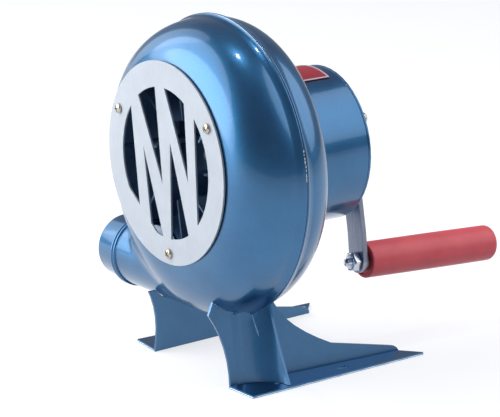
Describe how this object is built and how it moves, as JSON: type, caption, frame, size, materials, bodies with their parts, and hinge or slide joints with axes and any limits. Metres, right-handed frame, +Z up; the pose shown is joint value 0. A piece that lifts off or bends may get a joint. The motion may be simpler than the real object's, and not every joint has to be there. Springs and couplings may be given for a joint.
{
  "type": "hand crank forge blower",
  "caption": "Hand-cranked centrifugal forge blower: blue volute casing on splayed sheet-metal legs, zigzag intake grille, round side outlet, rear gearbox, crank with red turning grip.",
  "frame": {"origin": "middle of the bounding box's footprint, on the surface the feet stand on", "axes": "+Z up, +Y from the intake towards the crank along the fan shaft, the outlet points to -X"},
  "size_m": [0.2252, 0.2754, 0.2603],
  "materials": {
    "blue_paint": "metallic blue stove paint, semi gloss",
    "cover_sheet": "pale satin sheet",
    "yellow_zinc": "yellow passivated zinc",
    "zinc_plate": "bright zinc plate",
    "turned_steel": "oiled turned steel",
    "cast_bridge": "raw casting",
    "bush_bronze": "sintered bronze",
    "impeller_paint": "dark dip paint",
    "grip_plastic": "moulded red, satin",
    "label_enamel": "plain red plate with a bare metal border"
  },
  "bodies": {
    "housing": {"front_shell": "blue_paint", "rear_shell": "blue_paint", "outlet_collar": "blue_paint", "intake_cover": "cover_sheet", "cover_screw_1": "yellow_zinc", "cover_screw_2": "yellow_zinc", "cover_screw_3": "yellow_zinc", "gearbox_can": "blue_paint", "gearbox_end_plate": "blue_paint", "end_plate_screw_1": "zinc_plate", "end_plate_screw_2": "zinc_plate", "end_plate_screw_3": "zinc_plate", "can_screw_1": "zinc_plate", "can_screw_2": "zinc_plate", "can_screw_3": "zinc_plate", "bearing_bridge": "cast_bridge", "fan_bush": "bush_bronze", "lay_front_bush": "bush_bronze", "lay_rear_bush": "bush_bronze", "crank_bush": "bush_bronze", "label_plate": "label_enamel", "right_leg": "blue_paint", "left_leg": "blue_paint", "right_gusset": "blue_paint", "left_gusset": "blue_paint"},
    "crank": {"crank_shaft": "turned_steel", "crank_gear": "turned_steel", "crank_arm": "zinc_plate", "crank_washer": "zinc_plate", "crank_nut": "zinc_plate", "grip_bolt": "turned_steel", "grip_nut": "zinc_plate", "grip_washer": "zinc_plate", "grip_sleeve": "turned_steel"},
    "layshaft": {"lay_shaft": "turned_steel", "lay_pinion": "turned_steel", "lay_gear": "turned_steel"},
    "rotor": {"fan_shaft": "turned_steel", "fan_pinion": "turned_steel", "impeller_wheel": "impeller_paint", "impeller_hub": "turned_steel", "impeller_washer": "zinc_plate", "impeller_nut": "zinc_plate"},
    "grip": {"grip": "grip_plastic"}
  },
  "joints": [
    {"name": "crank_spin", "type": "hinge", "parent": "housing", "child": "crank", "pos_m": [0.01419, 0.01647, 0.1533], "axis": [0, 1, 0], "continuous": true},
    {"name": "layshaft_spin", "type": "hinge", "parent": "housing", "child": "layshaft", "pos_m": [-0.0217, -0.03, 0.15605], "axis": [0, 1, 0], "continuous": true},
    {"name": "fan_spin", "type": "hinge", "parent": "housing", "child": "rotor", "pos_m": [0.00219, -0.09093, 0.1583], "axis": [0, 1, 0], "continuous": true},
    {"name": "grip_spin", "type": "hinge", "parent": "crank", "child": "grip", "pos_m": [0.03158, 0.0152, 0.06707], "axis": [0.0114, 0.9983, -0.0564], "continuous": true}
  ],
  "couplings": [
    {"joint": "layshaft_spin", "follows": "crank_spin", "ratio": -5},
    {"joint": "fan_spin", "follows": "crank_spin", "ratio": 15}
  ]
}
